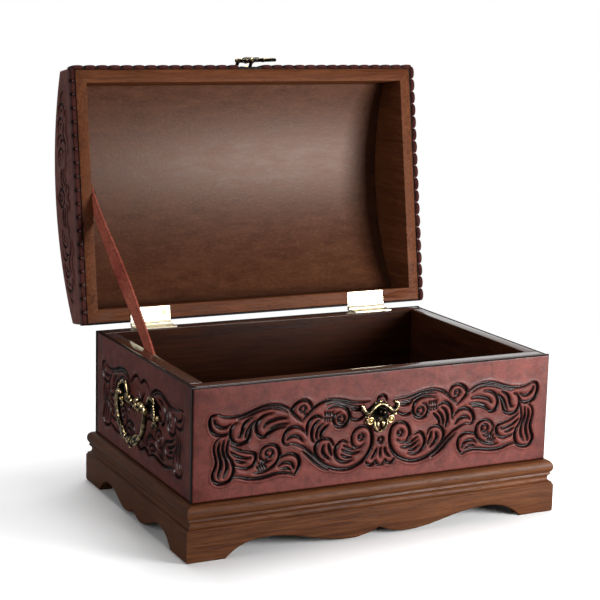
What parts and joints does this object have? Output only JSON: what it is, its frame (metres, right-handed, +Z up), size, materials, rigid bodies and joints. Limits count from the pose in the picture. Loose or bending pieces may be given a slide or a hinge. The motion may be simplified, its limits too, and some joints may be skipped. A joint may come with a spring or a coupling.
{
  "type": "jewelry box",
  "caption": "Leather-covered jewelry chest with a domed lid on two hinges, a stay strap, hasp and catch, drop handles and a moulded wooden base with bracket feet.",
  "frame": {"origin": "on the table, under the middle of the case's footprint", "axes": "+X to the right seen from the front, +Y to the back where the lid is hinged, +Z up; the catch is on the -Y face"},
  "size_m": [0.2808, 0.2537, 0.2956],
  "materials": {
    "base_wood": "satin stained walnut, fine straight grain",
    "case_wood": "dark stained boards, satin",
    "case_leather": "tooled burgundy leather, dark antiquing in the grooves",
    "lid_wood": "reddish stained boards, satin",
    "lid_lining": "thin mottled brown skiver lining, soft sheen",
    "lid_leather": "tooled dark burgundy leather",
    "trim_leather": "scalloped leather edge, nearly black",
    "strap_leather": "worn red-brown strap leather, dark edges",
    "hinge_brass": "polished brass",
    "antique_brass": "cast antique brass, black patina in the hollows"
  },
  "bodies": {
    "case": {"base_front_rail": "base_wood", "base_back_rail": "base_wood", "base_left_rail": "base_wood", "base_right_rail": "base_wood", "bottom_panel": "case_wood", "case_front_wall": "case_wood", "case_back_wall": "case_wood", "case_left_wall": "case_wood", "case_right_wall": "case_wood", "case_front_leather": "case_leather", "case_back_leather": "case_leather", "case_left_leather": "case_leather", "case_right_leather": "case_leather", "catch_plate": "antique_brass", "catch_knob": "antique_brass", "catch_nails": "antique_brass", "left_handle_plate": "antique_brass", "left_handle_nails": "antique_brass", "right_handle_plate": "antique_brass", "right_handle_nails": "antique_brass", "left_hinge_case_leaf": "hinge_brass", "right_hinge_case_leaf": "hinge_brass", "left_hinge_pin": "hinge_brass", "right_hinge_pin": "hinge_brass", "hinge_case_screws": "hinge_brass", "lid_strap": "strap_leather", "strap_case_tack": "hinge_brass"},
    "lid": {"lid_front_rail": "lid_wood", "lid_back_rail": "lid_wood", "lid_left_end": "lid_wood", "lid_right_end": "lid_wood", "lid_top_panel": "lid_wood", "lid_lining": "lid_lining", "lid_top_leather": "lid_leather", "lid_front_leather": "lid_leather", "lid_back_leather": "lid_leather", "lid_left_leather": "lid_leather", "lid_right_leather": "lid_leather", "lid_front_trim": "trim_leather", "lid_left_trim": "trim_leather", "lid_right_trim": "trim_leather", "left_hinge_lid_leaf": "hinge_brass", "right_hinge_lid_leaf": "hinge_brass", "hinge_lid_screws": "hinge_brass", "strap_lid_tack": "hinge_brass", "hasp_plate": "antique_brass", "hasp_pin": "antique_brass", "hasp_nails": "antique_brass"},
    "hasp": {"hasp_arm": "antique_brass"},
    "left_handle": {"left_bail": "antique_brass"},
    "right_handle": {"right_bail": "antique_brass"}
  },
  "joints": [
    {"name": "lid_hinge", "type": "hinge", "parent": "case", "child": "lid", "pos_m": [0, 0.0912, 0.1098], "axis": [1, 0, 0], "range_deg": [0, 98.94], "deforming": ["lid_strap"]},
    {"name": "hasp_hinge", "type": "hinge", "parent": "lid", "child": "hasp", "pos_m": [0, 0.12898, 0.29336], "axis": [-1, 0, 0], "range_deg": [0, 160]},
    {"name": "left_bail_pivot", "type": "hinge", "parent": "case", "child": "left_handle", "pos_m": [-0.1366, 0, 0.082], "axis": [0, 1, 0], "range_deg": [0, 120]},
    {"name": "right_bail_pivot", "type": "hinge", "parent": "case", "child": "right_handle", "pos_m": [0.1366, 0, 0.082], "axis": [0, -1, 0], "range_deg": [0, 120]}
  ]
}
